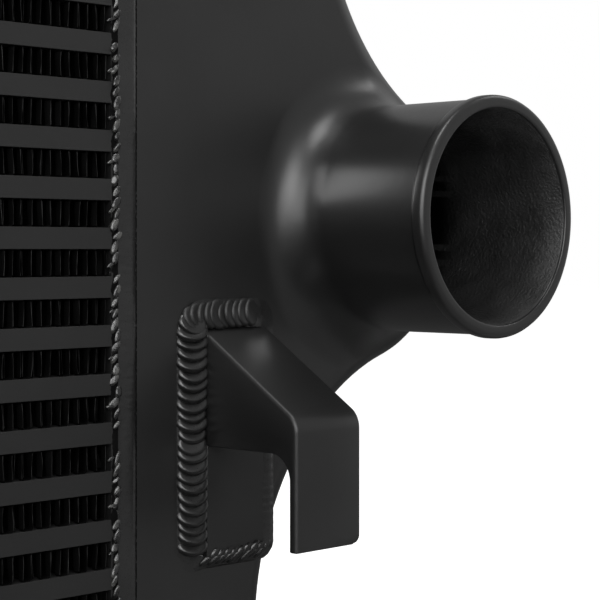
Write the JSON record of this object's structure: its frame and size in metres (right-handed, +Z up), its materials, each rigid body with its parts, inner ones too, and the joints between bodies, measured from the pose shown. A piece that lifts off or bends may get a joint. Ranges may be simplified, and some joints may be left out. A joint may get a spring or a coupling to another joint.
{
  "type": "intercooler",
  "caption": "Bar-and-plate air-to-air intercooler: a finned core between two cast end tanks, each with a round hose neck and a welded bracket.",
  "frame": {"origin": "middle of the underside of the core's bottom side plate", "axes": "+X along the core towards the right tank, +Y to the back, away from the hose necks, +Z up"},
  "size_m": [0.9534, 0.1353, 0.3335],
  "materials": {
    "core_bars": "satin",
    "fins": "satin",
    "cast_tank": "satin",
    "bracket": "satin",
    "weld": "satin"
  },
  "bodies": {
    "root": {"air_fin_01": "fins", "air_fin_02": "fins", "air_fin_03": "fins", "air_fin_04": "fins", "air_fin_05": "fins", "air_fin_06": "fins", "air_fin_07": "fins", "air_fin_08": "fins", "air_fin_09": "fins", "air_fin_10": "fins", "air_fin_11": "fins", "air_fin_12": "fins", "air_fin_13": "fins", "air_fin_14": "fins", "air_fin_15": "fins", "air_fin_16": "fins", "air_fin_17": "fins", "air_fin_18": "fins", "air_fin_19": "fins", "air_fin_20": "fins", "air_fin_21": "fins", "air_fin_22": "fins", "air_fin_23": "fins", "charge_tube_01": "core_bars", "charge_tube_02": "core_bars", "charge_tube_03": "core_bars", "charge_tube_04": "core_bars", "charge_tube_05": "core_bars", "charge_tube_06": "core_bars", "charge_tube_07": "core_bars", "charge_tube_08": "core_bars", "charge_tube_09": "core_bars", "charge_tube_10": "core_bars", "charge_tube_11": "core_bars", "charge_tube_12": "core_bars", "charge_tube_13": "core_bars", "charge_tube_14": "core_bars", "charge_tube_15": "core_bars", "charge_tube_16": "core_bars", "charge_tube_17": "core_bars", "charge_tube_18": "core_bars", "charge_tube_19": "core_bars", "charge_tube_20": "core_bars", "charge_tube_21": "core_bars", "charge_tube_22": "core_bars", "charge_fins": "fins", "left_header_bars": "core_bars", "left_tank": "cast_tank", "left_header_weld": "weld", "left_bracket": "bracket", "left_bracket_weld": "weld", "right_header_bars": "core_bars", "right_tank": "cast_tank", "right_header_weld": "weld", "right_bracket": "bracket", "right_bracket_weld": "weld", "bottom_side_plate": "core_bars", "top_side_plate": "core_bars"}
  },
  "joints": []
}
